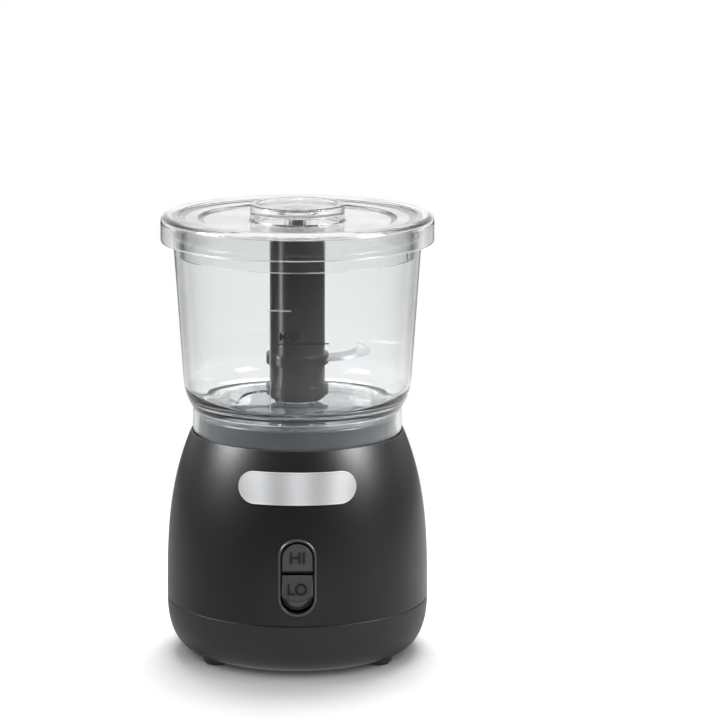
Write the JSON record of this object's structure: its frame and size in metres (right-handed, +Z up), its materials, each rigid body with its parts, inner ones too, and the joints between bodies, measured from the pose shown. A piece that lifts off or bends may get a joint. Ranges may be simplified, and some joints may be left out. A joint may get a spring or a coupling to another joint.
{
  "type": "electric food chopper",
  "caption": "Electric food chopper: clear bowl and press-down lid with a turning blade hub, on a round black motor base with a speed rocker and a bare silver plate.",
  "frame": {"origin": "on the table, under the axis of the base, level with the bottom of the rubber feet", "axes": "+Z up along the axis of motor, bowl and lid; -Y towards the front, where the speed rocker and the plate are; +X to the right seen from the front"},
  "size_m": [0.133, 0.133, 0.2222],
  "materials": {
    "black_plastic": "satin, fine grain",
    "rocker_plastic": "satin",
    "hub_plastic": "semi-gloss",
    "switch_plastic": "matte",
    "frame_plastic": "matte",
    "pale_plastic": "matte",
    "plunger_plastic": "satin",
    "clear_bowl": "clear, polished",
    "clear_lid": "clear, polished",
    "brushed_plate": "brushed",
    "blade_steel": "ground",
    "drive_steel": "machined",
    "screw_steel": "zinc plated",
    "motor_steel": "plated",
    "magnet": "sintered",
    "bearing_bronze": "sintered",
    "copper": "enamelled",
    "carbon": "matte",
    "rubber": "matte",
    "board": "coated",
    "capacitor": "satin"
  },
  "bodies": {
    "base": {"upper_housing": "black_plastic", "bottom_cover": "black_plastic", "rubber_feet": "rubber", "cover_screws": "screw_steel", "cord_bush": "rubber", "badge_plate": "brushed_plate", "rocker_pin": "screw_steel", "speed_switch": "switch_plastic", "motor_frame": "frame_plastic", "frame_screws": "screw_steel", "motor_can": "motor_steel", "motor_screws": "screw_steel", "motor_magnets": "magnet", "motor_end_cap": "pale_plastic", "upper_bearing": "bearing_bronze", "lower_bearing": "bearing_bronze", "brush_holders": "bearing_bronze", "carbon_brushes": "carbon", "shaft_seal": "rubber", "micro_switch": "switch_plastic", "switch_rivets": "screw_steel", "circuit_board": "board", "filter_capacitor": "capacitor", "bridge_rectifier": "switch_plastic"},
    "motor_rotor": {"motor_shaft": "screw_steel", "armature_core": "motor_steel", "copper_windings": "copper", "commutator": "copper", "cooling_fan": "frame_plastic", "drive_coupling": "drive_steel"},
    "blade_unit": {"blade_hub": "hub_plastic", "lower_blade": "blade_steel", "upper_blade": "blade_steel"},
    "bowl_unit": {"bowl": "clear_bowl"},
    "lid_unit": {"lid": "clear_lid"},
    "press_unit": {"press_ring": "frame_plastic", "press_springs": "drive_steel"},
    "plunger_unit": {"switch_plunger": "plunger_plastic"},
    "rocker_unit": {"speed_rocker": "rocker_plastic"},
    "slider_unit": {"switch_slider": "pale_plastic"}
  },
  "joints": [
    {"name": "motor_spin", "type": "hinge", "parent": "base", "child": "motor_rotor", "pos_m": [0, 0, 0.06], "axis": [0, 0, 1], "continuous": true},
    {"name": "blade_spin", "type": "hinge", "parent": "base", "child": "blade_unit", "pos_m": [0, 0, 0.16], "axis": [0, 0, 1], "continuous": true},
    {"name": "bowl_press", "type": "slide", "parent": "base", "child": "bowl_unit", "axis": [0, 0, 1], "range_m": [-0.002, 0], "stiffness_N_per_m": 2500, "springref_m": 0.004},
    {"name": "press_slide", "type": "slide", "parent": "base", "child": "press_unit", "axis": [0, 0, 1], "range_m": [-0.002, 0], "deforming": ["press_springs"]},
    {"name": "plunger_slide", "type": "slide", "parent": "base", "child": "plunger_unit", "axis": [0, 0, 1], "range_m": [-0.002, 0]},
    {"name": "lid_lift", "type": "slide", "parent": "bowl_unit", "child": "lid_unit", "axis": [0, 0, 1], "range_m": [0, 0.09]},
    {"name": "rocker_tilt", "type": "hinge", "parent": "base", "child": "rocker_unit", "pos_m": [0, -0.06002, 0.0513], "axis": [1, 0, 0], "range_deg": [0, 10]},
    {"name": "slider_slide", "type": "slide", "parent": "base", "child": "slider_unit", "axis": [0, 0, 1], "range_m": [0, 0.0014]}
  ],
  "couplings": [
    {"joint": "blade_spin", "follows": "motor_spin", "ratio": 1},
    {"joint": "press_slide", "follows": "bowl_press", "ratio": 1},
    {"joint": "plunger_slide", "follows": "bowl_press", "ratio": 1},
    {"joint": "slider_slide", "follows": "rocker_tilt", "m_per_rad": 0.008}
  ]
}
